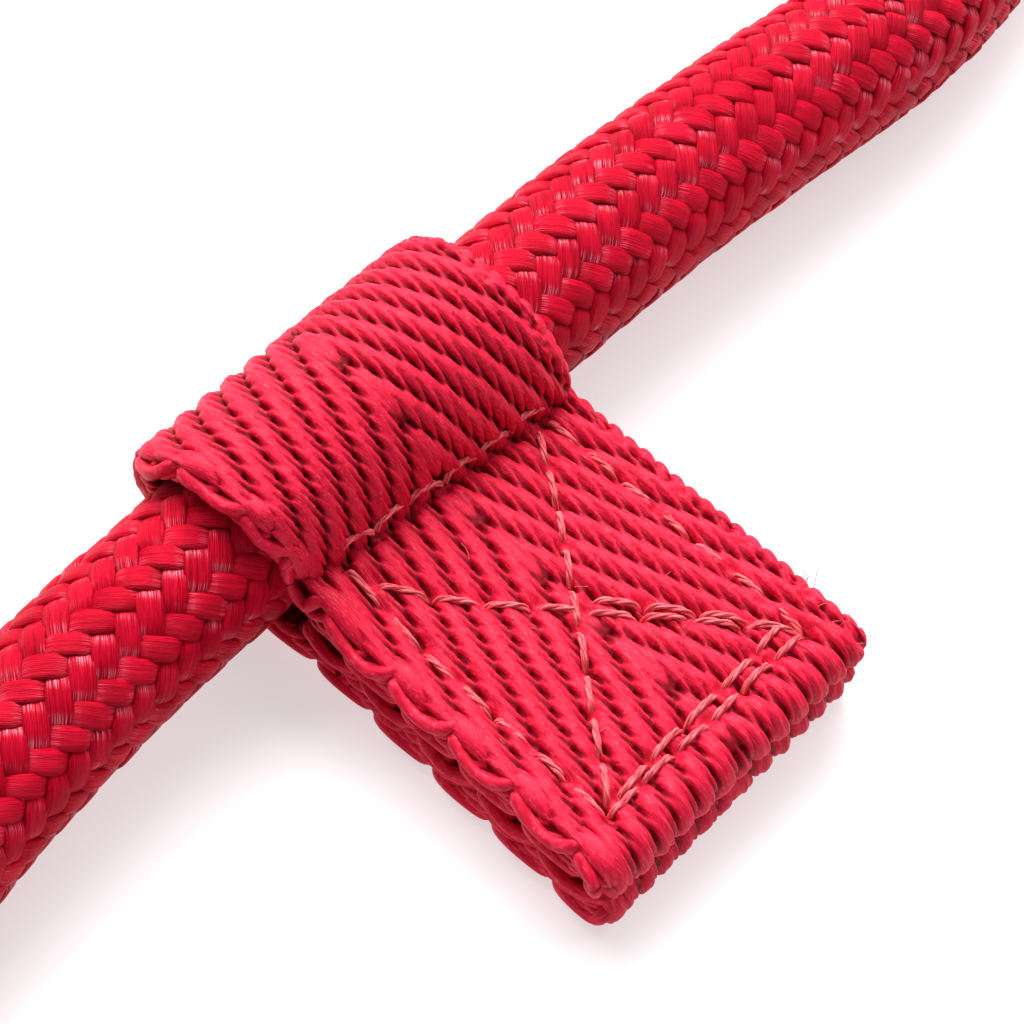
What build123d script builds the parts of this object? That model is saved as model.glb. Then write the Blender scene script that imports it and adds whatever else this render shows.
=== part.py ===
"""Rope halter, laid flat and face up: braided ropes, steel rings, sewn webbing chapes, a keeper tab and a snap.

X runs along the middle of the chin rope, +Y goes up the horse's head and +Z is up from the surface that the
halter lies on. The origin is on that surface, under the chin rope's axis at the middle of the keeper tab.
"""

from build123d import *
import math
import os

# Rope: a braided sheath over a soft core.
rope_diameter = 12.0
core_diameter = 8.4
core_clearance = 0.05

# Webbing strip that the tab and the chapes are made of.
web_width = 25.0
web_thickness = 1.9
layer_gap = 0.1
wrap_clearance = 0.3

# Keeper tab: a folded strip around the chin rope, sewn with a box and a cross.
tab_flat_length = 27.5
tab_seam_from_hump = 0.4
tab_seam_from_end = 4.1
tab_seam_inset = 3.5
tab_double_row = 1.5
crease_radius = 1.1

# Sewing thread, as it stands on the webbing.
thread_width = 0.6
thread_height = 0.35

# Rings of round steel wire.
ring_wire = 6.0
ring_mean_radius = 24.0
side_ring_centre = (125.0, 117.0)
upper_ring_centre = (131.0, 305.0)

# Chape: the webbing that joins a rope's end to a ring.
rope_setback = 14.0
sleeve_length = 26.0
held_run = 44.0
neck_width = 19.0
loop_gap = 0.3
chape_seam_inset = 2.2
chape_seam_margin = 2.0

# Snap at the free end of the throat rope.
snap_gap = 3.0
eye_wire = 5.0
eye_inner_width = 27.0
eye_depth = 14.0
eye_side_length = 9.0
stem_diameter = 4.4
stem_head_diameter = 7.0
stem_head_length = 2.4
swivel_clearance = 0.35
collar_diameter = 10.2
collar_length = 10.0
body_length = 22.0
body_thickness = 9.0
hook_wire = 5.2
hook_mean_radius = 8.5
hook_reach = 10.0
bolt_diameter = 4.6
bolt_clearance = 0.1
bolt_travel = 8.0
bolt_end_wall = 2.0
bolt_side_wall = 0.6
spring_wire = 0.6
spring_clearance = 0.35
spring_turns = 6
stud_diameter = 2.8
stud_reach = 4.2
stud_head_diameter = 6.0
stud_head_length = 1.6

# Sizes that follow from those above.
rope_radius = rope_diameter / 2
wrap_inner_radius = rope_radius + wrap_clearance
wrap_outer_radius = wrap_inner_radius + web_thickness
rope_axis_z = wrap_outer_radius
loop_inner_radius = ring_wire / 2 + loop_gap
loop_outer_radius = loop_inner_radius + web_thickness
ring_z = loop_outer_radius
double_layer = 2 * web_thickness + layer_gap
body_width = 2 * (hook_mean_radius + bolt_diameter / 2 + bolt_clearance + bolt_side_wall)
rope_end_reach = ring_mean_radius + rope_setback
sleeve_end_reach = rope_end_reach + sleeve_length

# Where each rope's end leaves its ring: side of the halter (-1 left, 1 right), ring and heading in degrees
# for the right side. The left side's heading is the mirrored one.
chin_heading = -104.8
nose_heading = 152.0
cheek_low_heading = 84.0
cheek_high_heading = -87.0
crown_heading = 100.0
throat_heading = 210.0
snap_heading = 197.0


def heading(angle, side=1):
    """A level unit vector at an angle from +X, mirrored for the left side."""
    return Vector(side * math.cos(math.radians(angle)), math.sin(math.radians(angle)), 0)


def ring_centre(centre, side):
    """The middle of a ring, at its wire's height."""
    return Vector(side * centre[0], centre[1], ring_z)


def sewn_end(centre, angle, side, reach):
    """A rope's end in its chape, and the point up to which the chape holds it level and straight."""
    middle = ring_centre(centre, side)
    ends = [middle + heading(angle, side) * far for far in (reach, reach + held_run)]
    return [(at.X, at.Y, rope_axis_z) for at in ends]


# The snap lies open beside the left upper ring, so its chape is further out than the others.
snap_length = hook_wire / 2 + hook_mean_radius + hook_reach + body_length + collar_length + eye_depth
snap_bar_reach = ring_mean_radius + ring_wire / 2 + snap_gap + snap_length
throat_end_reach = snap_bar_reach + rope_setback

# Routes of the ropes. The ends follow the rings, and the points between are chosen by hand.
routes = {
    "chin": [
        *sewn_end(side_ring_centre, chin_heading, -1, rope_end_reach),
        (-94.0, 16.0, 6.8),
        (-74.5, 0.5, 6.1),
        (-53.0, -3.0, 6.2),
        (-31.0, 0.0, rope_axis_z),
        (32.0, 0.0, rope_axis_z),
        (61.0, 0.8, 6.1),
        (88.0, 13.5, 6.4),
        *reversed(sewn_end(side_ring_centre, chin_heading, 1, rope_end_reach)),
    ],
    "nose": [
        *sewn_end(side_ring_centre, nose_heading, -1, rope_end_reach),
        (-17.0, 165.5, 6.1),
        (18.0, 166.0, 6.1),
        *reversed(sewn_end(side_ring_centre, nose_heading, 1, rope_end_reach)),
    ],
    "left_cheek": [
        *sewn_end(side_ring_centre, cheek_low_heading, -1, rope_end_reach),
        *reversed(sewn_end(upper_ring_centre, cheek_high_heading, -1, rope_end_reach)),
    ],
    "right_cheek": [
        *sewn_end(side_ring_centre, cheek_low_heading, 1, rope_end_reach),
        *reversed(sewn_end(upper_ring_centre, cheek_high_heading, 1, rope_end_reach)),
    ],
    "crown": [
        *sewn_end(upper_ring_centre, crown_heading, -1, rope_end_reach),
        (-98.5, 431.0, 6.1),
        (-66.0, 463.0, 6.1),
        (-23.0, 478.5, 6.1),
        (23.5, 479.0, 6.1),
        (67.0, 462.0, 6.1),
        (98.5, 429.5, 6.1),
        *reversed(sewn_end(upper_ring_centre, crown_heading, 1, rope_end_reach)),
    ],
    "throat": [
        *sewn_end(upper_ring_centre, snap_heading, -1, throat_end_reach),
        (38.5, 258.5, 6.1),
        *reversed(sewn_end(upper_ring_centre, throat_heading, 1, rope_end_reach)),
    ],
}


def corner_radii(points):
    """The largest radius that each corner's two runs allow: 0.45 of the shorter over the tangent of half the turn."""
    places = [Vector(*p) for p in points]
    runs = [b - a for a, b in zip(places, places[1:])]
    return [
        0.45 * min(a.length, b.length) / math.tan(math.radians(a.get_angle(b) / 2))
        for a, b in zip(runs, runs[1:])
    ]


def rope_path(points):
    """Straight runs joined by tangent arcs through a rope's points."""
    return FilletPolyline(*points, radius=corner_radii(points))


def along(path, section):
    """A section carried along a rope's path."""
    return sweep(Plane(origin=path @ 0, z_dir=path % 0) * section, path=path)


def rope_sheath(path):
    """The braided cover of a rope, as a plain tube."""
    return along(path, Circle(rope_radius) - Circle(core_diameter / 2))


def rope_core(path):
    """The soft filling inside the cover."""
    return along(path, Circle(core_diameter / 2 - core_clearance))


def ring(centre, side):
    """A closed ring of round wire that lies level."""
    return Pos(ring_centre(centre, side)) * Torus(ring_mean_radius, ring_wire / 2)


def sleeve(start, end):
    """The webbing sewn around a rope's end along local X: a round middle with a flat fin on each side."""
    middle = (start + end) / 2
    length = end - start
    round_part = Pos(middle, 0, rope_axis_z) * Rot(0, 90, 0) * Cylinder(wrap_outer_radius, length)
    fins = Pos(middle, 0, rope_axis_z) * Box(length, web_width, double_layer)
    bore = Pos(middle, 0, rope_axis_z) * Rot(0, 90, 0) * Cylinder(wrap_inner_radius, length)
    return round_part + fins - bore


def neck(start, end):
    """The two layers between the ring and the rope, which open out around the rope's end."""
    low = Plane(origin=(start, 0, ring_z), x_dir=(0, 1, 0), z_dir=(1, 0, 0))
    high = Plane(origin=(end, 0, rope_axis_z), x_dir=(0, 1, 0), z_dir=(1, 0, 0))
    layers = loft([low * Rectangle(web_width, double_layer), high * Rectangle(web_width, double_layer)])
    swelling = loft([low * Ellipse(neck_width / 2, double_layer / 2), high * Circle(wrap_outer_radius)])
    return layers + swelling


def placed(shape, centre, angle, side):
    """A shape made along local X from a ring's middle, turned to a rope's heading."""
    turned = angle if side > 0 else 180 - angle
    return Pos(side * centre[0], centre[1], 0) * Rot(0, 0, turned) * shape


def ring_chape():
    """A chape along local X: a loop around the ring's wire, a neck and a sleeve over the rope's end."""
    spread = math.degrees(web_width / ring_mean_radius)
    loop_face = Plane.XZ * Pos(ring_mean_radius, ring_z) * Circle(loop_outer_radius)
    loop = Rot(0, 0, -spread / 2) * revolve(loop_face, Axis.Z, spread)
    neck_start = ring_mean_radius + loop_outer_radius
    bridge = Pos((ring_mean_radius + neck_start) / 2, 0, ring_z) * Box(
        neck_start - ring_mean_radius, web_width, double_layer
    )
    wire_way = Pos(0, 0, ring_z) * Torus(ring_mean_radius, loop_inner_radius)
    joined = loop + bridge + neck(neck_start, rope_end_reach) + sleeve(rope_end_reach, sleeve_end_reach)
    return joined - wire_way


def snap_chape():
    """The chape on the snap: as a ring's chape, with a straight loop around the bar of the snap's eye."""
    bar_radius = eye_wire / 2 + loop_gap
    loop = Pos(snap_bar_reach, 0, ring_z) * Rot(90, 0, 0) * Cylinder(bar_radius + web_thickness, web_width)
    way = Pos(snap_bar_reach, 0, ring_z) * Rot(90, 0, 0) * Cylinder(bar_radius, web_width)
    neck_start = snap_bar_reach + bar_radius + web_thickness
    bridge = Pos((snap_bar_reach + neck_start) / 2, 0, ring_z) * Box(
        neck_start - snap_bar_reach, web_width, double_layer
    )
    joined = loop + bridge + neck(neck_start, throat_end_reach)
    return joined + sleeve(throat_end_reach, throat_end_reach + sleeve_length) - way


def chape_seams(start):
    """Sewing on a chape's fins, above and below, from the rope's end to the sleeve's mouth."""
    length = sleeve_length - 2 * chape_seam_margin
    middle = start + sleeve_length / 2
    rows = []
    for side in (-1, 1):
        for face in (-1, 1):
            height = rope_axis_z + face * (double_layer + thread_height) / 2
            place = Pos(middle, side * (web_width / 2 - chape_seam_inset), height)
            rows.append(place * Box(length, thread_width, thread_height))
    return rows


# Each chape: its name, ring, heading on the right side and side of the halter.
ring_chapes = {
    "left_chin_chape": (side_ring_centre, chin_heading, -1),
    "right_chin_chape": (side_ring_centre, chin_heading, 1),
    "left_nose_chape": (side_ring_centre, nose_heading, -1),
    "right_nose_chape": (side_ring_centre, nose_heading, 1),
    "left_cheek_lower_chape": (side_ring_centre, cheek_low_heading, -1),
    "right_cheek_lower_chape": (side_ring_centre, cheek_low_heading, 1),
    "left_cheek_upper_chape": (upper_ring_centre, cheek_high_heading, -1),
    "right_cheek_upper_chape": (upper_ring_centre, cheek_high_heading, 1),
    "left_crown_chape": (upper_ring_centre, crown_heading, -1),
    "right_crown_chape": (upper_ring_centre, crown_heading, 1),
    "right_throat_chape": (upper_ring_centre, throat_heading, 1),
}
snap_placing = (upper_ring_centre, snap_heading, -1)

# Keeper tab, worked out in its own side view: across is Y and up is Z.
layer_pitch = web_thickness + layer_gap
layer_z = [web_thickness / 2 + k * layer_pitch for k in range(4)]
stack_height = layer_z[3] + web_thickness / 2
hump_radius = wrap_inner_radius + web_thickness / 2
crease_z = layer_z[3] + crease_radius
crease_y = -math.sqrt((hump_radius + crease_radius) ** 2 - (crease_z - rope_axis_z) ** 2)
tab_end = crease_y - tab_flat_length
fold_y = tab_end + web_thickness + layer_gap / 2
tuck_y = -wrap_inner_radius
seam_near = crease_y - tab_seam_from_hump
seam_far = tab_end + tab_seam_from_end


def folded_strip():
    """One strip of webbing over the rope, with both ends folded under, as a band of even thickness."""
    fold_radius = layer_pitch / 2
    crease = Vector(crease_y, crease_z)
    hump = Vector(0, rope_axis_z)
    leaves = hump + (crease - hump).normalized() * hump_radius
    crease_middle = crease + Vector(1, -1).normalized() * crease_radius
    middle_line = [
        Line((tuck_y, layer_z[2]), (fold_y, layer_z[2])),
        ThreePointArc(
            (fold_y, layer_z[2]), (fold_y - fold_radius, layer_z[2] + fold_radius), (fold_y, layer_z[3])
        ),
        Line((fold_y, layer_z[3]), (crease_y, layer_z[3])),
        ThreePointArc((crease_y, layer_z[3]), crease_middle, leaves),
        ThreePointArc(leaves, (hump_radius, rope_axis_z), (0, layer_z[0])),
        Line((0, layer_z[0]), (fold_y, layer_z[0])),
        ThreePointArc(
            (fold_y, layer_z[0]), (fold_y - fold_radius, layer_z[0] + fold_radius), (fold_y, layer_z[1])
        ),
        Line((fold_y, layer_z[1]), (tuck_y, layer_z[1])),
    ]
    sides = []
    for line in middle_line:
        sides.append(trace(line, web_thickness))
    band = sides[0]
    for side in sides[1:]:
        band = band + side
    return Plane.YZ * extrude(band, web_width / 2, both=True)


def tab_seams(height, face):
    """The sewn box, its cross and the second row at the tab's end, as one line of thread on one face."""
    half = web_width / 2 - tab_seam_inset
    level = height + face * thread_height / 2
    corners = [(-half, seam_near), (half, seam_near), (half, seam_far), (-half, seam_far)]
    lines = list(zip(corners, corners[1:] + corners[:1]))
    lines += [(corners[0], corners[2]), (corners[1], corners[3])]
    lines.append(((-half, seam_far + tab_double_row), (half, seam_far + tab_double_row)))
    seam = None
    for (x0, y0), (x1, y1) in lines:
        length = math.hypot(x1 - x0, y1 - y0) + thread_width
        turn = math.degrees(math.atan2(y1 - y0, x1 - x0))
        piece = Pos((x0 + x1) / 2, (y0 + y1) / 2, level) * Rot(0, 0, turn) * Box(
            length, thread_width, thread_height
        )
        seam = piece if seam is None else seam + piece
    return seam


# Snap, along local X from the ring towards the rope, with its eye's bar at snap_bar_reach.
collar_start = snap_bar_reach - eye_depth - collar_length
body_start = collar_start - body_length
hook_middle = body_start - hook_reach
bolt_offset = hook_mean_radius
bolt_rest_back = body_start + body_length - bolt_end_wall - bolt_travel - spring_turns * spring_wire


def wire_piece(points, radius):
    """Round wire along straight runs, with a ball at each bend."""
    piece = None
    for a, b in zip(points, points[1:]):
        start, end = Vector(*a), Vector(*b)
        rod = Solid.make_cylinder(radius, (end - start).length, Plane(origin=start, z_dir=end - start))
        piece = Part() + rod if piece is None else piece + rod
    for p in points[1:-1]:
        piece = piece + Pos(*p) * Sphere(radius)
    return piece


def swivel_eye():
    """The eye that the webbing loops through, with a headed stem that turns in the snap's collar."""
    half = (eye_inner_width + eye_wire) / 2
    shoulder = snap_bar_reach - eye_depth + eye_wire / 2
    points = [
        (shoulder, 0, ring_z),
        (snap_bar_reach - eye_side_length, half, ring_z),
        (snap_bar_reach, half, ring_z),
        (snap_bar_reach, -half, ring_z),
        (snap_bar_reach - eye_side_length, -half, ring_z),
        (shoulder, 0, ring_z),
    ]
    eye = wire_piece(points, eye_wire / 2) + Pos(*points[0]) * Sphere(eye_wire / 2)
    head_back = collar_start + bolt_end_wall + stem_head_length
    stem_length = shoulder - head_back
    stem = Pos(head_back + stem_length / 2, 0, ring_z) * Rot(0, 90, 0) * Cylinder(stem_diameter / 2, stem_length)
    head = Pos(head_back - stem_head_length / 2, 0, ring_z) * Rot(0, 90, 0) * Cylinder(
        stem_head_diameter / 2, stem_head_length
    )
    return eye + stem + head


def snap_body():
    """The cast snap: collar, body with the bolt's bore and stud slot, and the hook."""
    collar_middle = collar_start + collar_length / 2
    collar = Pos(collar_middle, 0, ring_z) * Rot(0, 90, 0) * Cylinder(collar_diameter / 2, collar_length)
    block = Pos(body_start + body_length / 2, 0, ring_z) * Box(body_length, body_width, body_thickness)
    block = fillet(block.edges().filter_by(Axis.Z), body_thickness / 3)
    block = fillet(block.edges().group_by(Axis.Z)[-1] + block.edges().group_by(Axis.Z)[0], 1.5)
    arm_length = hook_reach + body_length / 4
    arm = Pos(body_start - hook_reach + arm_length / 2, -bolt_offset, ring_z) * Rot(0, 90, 0) * Cylinder(
        hook_wire / 2, arm_length
    )
    hook_face = Plane.XZ * Pos(hook_mean_radius, 0) * Circle(hook_wire / 2)
    hook = Pos(hook_middle, 0, ring_z) * Rot(0, 0, 90) * revolve(hook_face, Axis.Z, 180)
    cavity_length = stem_head_length + 2 * swivel_clearance
    cavity_start = collar_start + bolt_end_wall - swivel_clearance
    cavity = Pos(cavity_start + cavity_length / 2, 0, ring_z) * Rot(0, 90, 0) * Cylinder(
        stem_head_diameter / 2 + swivel_clearance, cavity_length
    )
    stem_way_length = collar_start + collar_length - cavity_start
    stem_way = Pos(cavity_start + stem_way_length / 2, 0, ring_z) * Rot(0, 90, 0) * Cylinder(
        stem_diameter / 2 + swivel_clearance, stem_way_length
    )
    bore_length = body_length - bolt_end_wall
    bore = Pos(body_start + bore_length / 2, bolt_offset, ring_z) * Rot(0, 90, 0) * Cylinder(
        bolt_diameter / 2 + bolt_clearance, bore_length
    )
    slot_length = bolt_travel + stud_diameter + 2 * swivel_clearance
    slot_start = stud_at() - stud_diameter / 2 - swivel_clearance
    slot = Pos(slot_start + slot_length / 2, bolt_offset + body_width / 4, ring_z) * Box(
        slot_length, body_width / 2, stud_diameter + 2 * swivel_clearance
    )
    return collar + block + arm + hook - cavity - stem_way - bore - slot


def stud_at():
    """Where the thumb stud stands along the bolt at rest."""
    return bolt_rest_back - stud_diameter


def snap_bolt():
    """The sliding bolt with its thumb stud: its nose meets the hook's tip."""
    nose = hook_middle + swivel_clearance
    length = bolt_rest_back - nose
    rod = Pos(nose + length / 2, bolt_offset, ring_z) * Rot(0, 90, 0) * Cylinder(bolt_diameter / 2, length)
    stud_length = body_width / 2 - bolt_offset + stud_reach
    stud = Pos(stud_at(), bolt_offset + stud_length / 2, ring_z) * Rot(90, 0, 0) * Cylinder(
        stud_diameter / 2, stud_length
    )
    head = Pos(stud_at(), bolt_offset + stud_length, ring_z) * Rot(90, 0, 0) * Cylinder(
        stud_head_diameter / 2, stud_head_length
    )
    return rod + stud + head


def snap_spring():
    """The coil that pushes the bolt shut, between the bolt's back and the end of its bore."""
    coil_radius = bolt_diameter / 2 - spring_clearance - spring_wire / 2
    start = bolt_rest_back + spring_wire / 2 + layer_gap
    end = body_start + body_length - bolt_end_wall - spring_wire / 2 - layer_gap
    path = Helix((end - start) / spring_turns, end - start, coil_radius)
    wire = sweep(Plane(origin=path @ 0, z_dir=path % 0) * Circle(spring_wire / 2), path=path)
    return Pos(start, bolt_offset, ring_z) * Rot(0, 90, 0) * wire


parts = {}
for name, points in routes.items():
    path = rope_path(points)
    parts[name + "_rope_sheath"] = rope_sheath(path)
    parts[name + "_rope_core"] = rope_core(path)
    solid_length = parts[name + "_rope_core"].volume / (math.pi * (core_diameter / 2 - core_clearance) ** 2)
    radii = ", ".join(f"{r:.0f}" for r in corner_radii(points))
    print(f"{name} rope: length {path.length:.1f}, volume over section {solid_length:.1f}, radii {radii}")

for name, side in (("left", -1), ("right", 1)):
    parts[name + "_side_ring"] = ring(side_ring_centre, side)
    parts[name + "_upper_ring"] = ring(upper_ring_centre, side)

seams = []
for name, (centre, angle, side) in ring_chapes.items():
    parts[name] = placed(ring_chape(), centre, angle, side)
    seams += [placed(row, centre, angle, side) for row in chape_seams(rope_end_reach)]
parts["snap_chape"] = placed(snap_chape(), *snap_placing)
seams += [placed(row, *snap_placing) for row in chape_seams(throat_end_reach)]
parts["chape_stitching"] = Compound(children=[row.solid() for row in seams])

parts["keeper_tab"] = folded_strip()
parts["tab_top_stitching"] = tab_seams(stack_height, 1)
parts["snap_swivel_eye"] = placed(swivel_eye(), *snap_placing)
parts["snap_body"] = placed(snap_body(), *snap_placing)
parts["snap_bolt"] = placed(snap_bolt(), *snap_placing)
parts["snap_spring"] = placed(snap_spring(), *snap_placing)

os.makedirs("parts", exist_ok=True)
for name, shape in parts.items():
    export_step(shape, f"parts/{name}.step")
print(f"{len(parts)} parts, tab end {tab_end:.2f}, seams {seam_near:.2f} to {seam_far:.2f}")
print(f"snap body from {body_start:.2f}, hook middle {hook_middle:.2f}, bolt back {bolt_rest_back:.2f}")
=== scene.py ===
"""A braided rope halter, laid flat, seen close at the webbing tab that is sewn around its chin rope."""

import math

import bpy
import numpy as np
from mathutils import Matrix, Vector


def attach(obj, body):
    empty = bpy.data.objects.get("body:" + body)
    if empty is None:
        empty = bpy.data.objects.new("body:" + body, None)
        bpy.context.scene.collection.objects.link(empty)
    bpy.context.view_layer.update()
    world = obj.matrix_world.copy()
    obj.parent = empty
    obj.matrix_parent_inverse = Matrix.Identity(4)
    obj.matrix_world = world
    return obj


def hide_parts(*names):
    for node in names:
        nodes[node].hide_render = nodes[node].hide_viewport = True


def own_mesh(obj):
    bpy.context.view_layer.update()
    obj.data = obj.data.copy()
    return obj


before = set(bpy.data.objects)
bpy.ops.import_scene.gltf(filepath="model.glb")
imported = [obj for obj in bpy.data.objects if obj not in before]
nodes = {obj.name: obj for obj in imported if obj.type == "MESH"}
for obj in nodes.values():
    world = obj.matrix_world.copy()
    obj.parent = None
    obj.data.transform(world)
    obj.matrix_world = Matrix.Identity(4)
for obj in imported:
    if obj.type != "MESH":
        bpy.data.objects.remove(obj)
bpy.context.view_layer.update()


# Camera: a close view of the tab and of 70 mm of the chin rope, from above and from the left cheek's
# side. It stands 163 mm off and sees 24 degrees.
camera_target = Vector((0.0037, -0.0106, 0.005))
camera_turn, camera_rise, camera_distance = math.radians(-46.9), math.radians(55.8), 0.163
towards_camera = Vector(
    (
        math.sin(camera_turn) * math.cos(camera_rise),
        -math.cos(camera_turn) * math.cos(camera_rise),
        math.sin(camera_rise),
    )
)
camera_data = bpy.data.cameras.new("camera")
camera_data.angle = math.radians(24)
camera_data.clip_start = 0.01
camera = bpy.data.objects.new("camera", camera_data)
camera.location = camera_target + towards_camera * camera_distance
camera.rotation_mode = "QUATERNION"
camera.rotation_quaternion = (-towards_camera).to_track_quat("-Z", "Y")
bpy.context.scene.collection.objects.link(camera)
bpy.context.scene.camera = camera


# Floor and light: a near-white table top of matt paint under a pale room. The table glows faintly:
# painted light that lightens the shadows on it and lights the halter from below. One wide soft lamp
# stands high behind the rope, with a low fill beside the tab and a weak one further behind.
# Finishes are built from fields: sums on what varies over a surface, which become nodes.
class Field:
    """A value that varies over a surface: a node's output that takes part in sums."""

    def __init__(self, tree, socket=None):
        self.tree = tree
        self.socket = socket

    def node(self, kind, inputs=None, output=0, **settings):
        """Any node of the tree, with fields or numbers for its inputs, as the field of one output."""
        made = self.tree.nodes.new(kind)
        for name, value in settings.items():
            setattr(made, name, value)
        for name, value in (inputs or {}).items():
            if isinstance(value, Field):
                self.tree.links.new(value.socket, made.inputs[name])
            else:
                made.inputs[name].default_value = value
        return Field(self.tree, made.outputs[output])

    def maths(self, operation, *others):
        """One sum on this field and up to two others."""
        parts = {k: part for k, part in enumerate((self, *others))}
        return self.node("ShaderNodeMath", parts, operation=operation)

    def __add__(self, other):
        return self.maths("ADD", other)

    def __sub__(self, other):
        return self.maths("SUBTRACT", other)

    def __rsub__(self, other):
        return self.node("ShaderNodeMath", {0: other, 1: self}, operation="SUBTRACT")

    def __mul__(self, other):
        return self.maths("MULTIPLY", other)

    __radd__ = __add__
    __rmul__ = __mul__

    def rise(self, low, high):
        """0 below low, 1 above high, and smooth between."""
        inputs = {"Value": self, "From Min": low, "From Max": high}
        return self.node("ShaderNodeMapRange", inputs, interpolation_type="SMOOTHSTEP")

    def blend(self, low, high):
        """The colour low where this field is 0 and high where it is 1. Each is four numbers or a field."""
        inputs = {0: self, 6: low, 7: high}
        return self.node("ShaderNodeMix", inputs, output=2, data_type="RGBA", clamp_factor=True)


def surface_material(name, roughness, **sockets):
    """A material with one Principled shader: its material, its shader, and a field to build nodes from."""
    made = bpy.data.materials.new(name)
    made.use_nodes = True
    shader = made.node_tree.nodes["Principled BSDF"]
    shader.inputs["Roughness"].default_value = roughness
    for socket, value in sockets.items():
        shader.inputs[socket.replace("_", " ")].default_value = value
    return made, shader, Field(made.node_tree)


def wire_up(shader, **fields):
    """Fields into a shader's sockets."""
    for socket, field in fields.items():
        field.tree.links.new(field.socket, shader.inputs[socket.replace("_", " ")])


# The table's emission is painted light: it lightens the shadows cast on the table.
floor_paint, floor_shader, floor_field = surface_material(
    "table_paint", 0.55, Specular_IOR_Level=0.2, Emission_Color=(1.0, 0.97, 0.985, 1), Emission_Strength=0.56
)
floor_place = floor_field.node("ShaderNodeTexCoord", output="Object")
floor_cloud = floor_place.node("ShaderNodeTexNoise", {"Vector": floor_place, "Scale": 3.0, "Detail": 2.0})
wire_up(floor_shader, Base_Color=floor_cloud.blend((0.46, 0.445, 0.455, 1), (0.50, 0.485, 0.495, 1)))
floor_mesh = bpy.data.meshes.new("table_top")
floor_corners = [(-4, -4, -0.0002), (4, -4, -0.0002), (4, 4, -0.0002), (-4, 4, -0.0002)]
floor_mesh.from_pydata(floor_corners, [], [(0, 1, 2, 3)])
floor_mesh.materials.append(floor_paint)
floor = bpy.data.objects.new("table_top", floor_mesh)
bpy.context.scene.collection.objects.link(floor)

# Each lamp: where it stands, its width and its power in watts.
lamps = {
    "key": ((0.50, 0.66, 0.95), 1.2, 43.0),
    "fill": ((0.26, -0.08, 0.30), 0.30, 0.75),
    "rim": ((-0.3, 0.9, 0.9), 0.8, 3.0),
}
for lamp_name, (place, width, power) in lamps.items():
    lamp_data = bpy.data.lights.new(lamp_name, "AREA")
    lamp_data.size = width
    lamp_data.energy = power
    lamp = bpy.data.objects.new(lamp_name, lamp_data)
    lamp.location = place
    lamp.rotation_mode = "QUATERNION"
    lamp.rotation_quaternion = (-Vector(place)).to_track_quat("-Z", "Y")
    bpy.context.scene.collection.objects.link(lamp)

room = bpy.data.worlds.new("room")
room.use_nodes = True
room.node_tree.nodes["Background"].inputs["Color"].default_value = (1.0, 0.98, 0.99, 1)
room.node_tree.nodes["Background"].inputs["Strength"].default_value = 0.29
bpy.context.scene.world = room
bpy.context.scene.view_settings.view_transform = "Standard"


# Ropes: six lengths of red polyester rope, laid flat from ring to ring, each in one smooth line.
# A route has its points in metres. A sewn end is the rope's end in its chape and the point up to
# which the chape holds the rope straight.
def add_piece(name, points, faces, paint, body, plan=None, tone=None, lift=None):
    """A smooth-shaded piece from points in millimetres and arrays of faces, riding on a body.

    plan is a place on the cloth for each point, along and across in millimetres, kept as the UV map.
    tone and lift are numbers for each point, kept as attributes of those names.
    """
    mesh = bpy.data.meshes.new(name)
    volume = 0
    for f in faces:
        for k in range(1, f.shape[1] - 1):
            first, second, third = (points[f[:, j]] for j in (0, k, k + 1))
            volume += np.sum(first * np.cross(second, third))
    if volume < 0:
        faces = [f[:, ::-1] for f in faces]
    corners = np.concatenate([f.ravel() for f in faces])
    sizes = np.concatenate([np.full(len(f), f.shape[1]) for f in faces])
    mesh.vertices.add(len(points))
    mesh.vertices.foreach_set("co", (points * 0.001).ravel().astype(np.float32))
    mesh.loops.add(len(corners))
    mesh.loops.foreach_set("vertex_index", corners.astype(np.int32))
    mesh.polygons.add(len(sizes))
    mesh.polygons.foreach_set("loop_start", np.concatenate([[0], np.cumsum(sizes)[:-1]]).astype(np.int32))
    mesh.update(calc_edges=True)
    mesh.polygons.foreach_set("use_smooth", np.ones(len(sizes), bool))
    if plan is not None:
        mesh.uv_layers.new(name="UVMap").data.foreach_set("uv", plan[corners].ravel().astype(np.float32))
    for label, values in (("tone", tone), ("lift", lift)):
        if values is not None:
            attribute = mesh.attributes.new(label, "FLOAT", "POINT")
            attribute.data.foreach_set("value", values.ravel().astype(np.float32))
    mesh.materials.append(paint)
    piece = bpy.data.objects.new(name, mesh)
    bpy.context.scene.collection.objects.link(piece)
    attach(piece, body)
    return piece


def tube_faces(count, rings, sides):
    """Faces of count tubes, each of rings times sides points in order, with both ends closed."""
    ring, side = np.meshgrid(np.arange(rings - 1), np.arange(sides), indexing="ij")
    after = (side + 1) % sides
    wall = np.stack(
        [ring * sides + side, ring * sides + after, (ring + 1) * sides + after, (ring + 1) * sides + side],
        axis=-1,
    ).reshape(-1, 4)
    start = np.arange(sides)[::-1][None, :]
    end = (rings - 1) * sides + np.arange(sides)[None, :]
    offsets = np.arange(count)[:, None, None] * rings * sides
    caps = np.concatenate([start, end])
    return [(offsets + part[None]).reshape(-1, part.shape[1]) for part in (wall, caps)]


side_ring, upper_ring = (0.125, 0.117), (0.131, 0.305)
rope_height, ring_height, chape_reach, throat_reach = 0.0082, 0.0052, 0.038, 0.1111


def sewn_end(ring, degrees, side, reach=chape_reach):
    """Two points from a ring's middle on a level line, at reach and 44 mm further, mirrored for the left."""
    turn = math.radians(degrees)
    return [
        (side * (ring[0] + far * math.cos(turn)), ring[1] + far * math.sin(turn), rope_height)
        for far in (reach, reach + 0.044)
    ]


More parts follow.
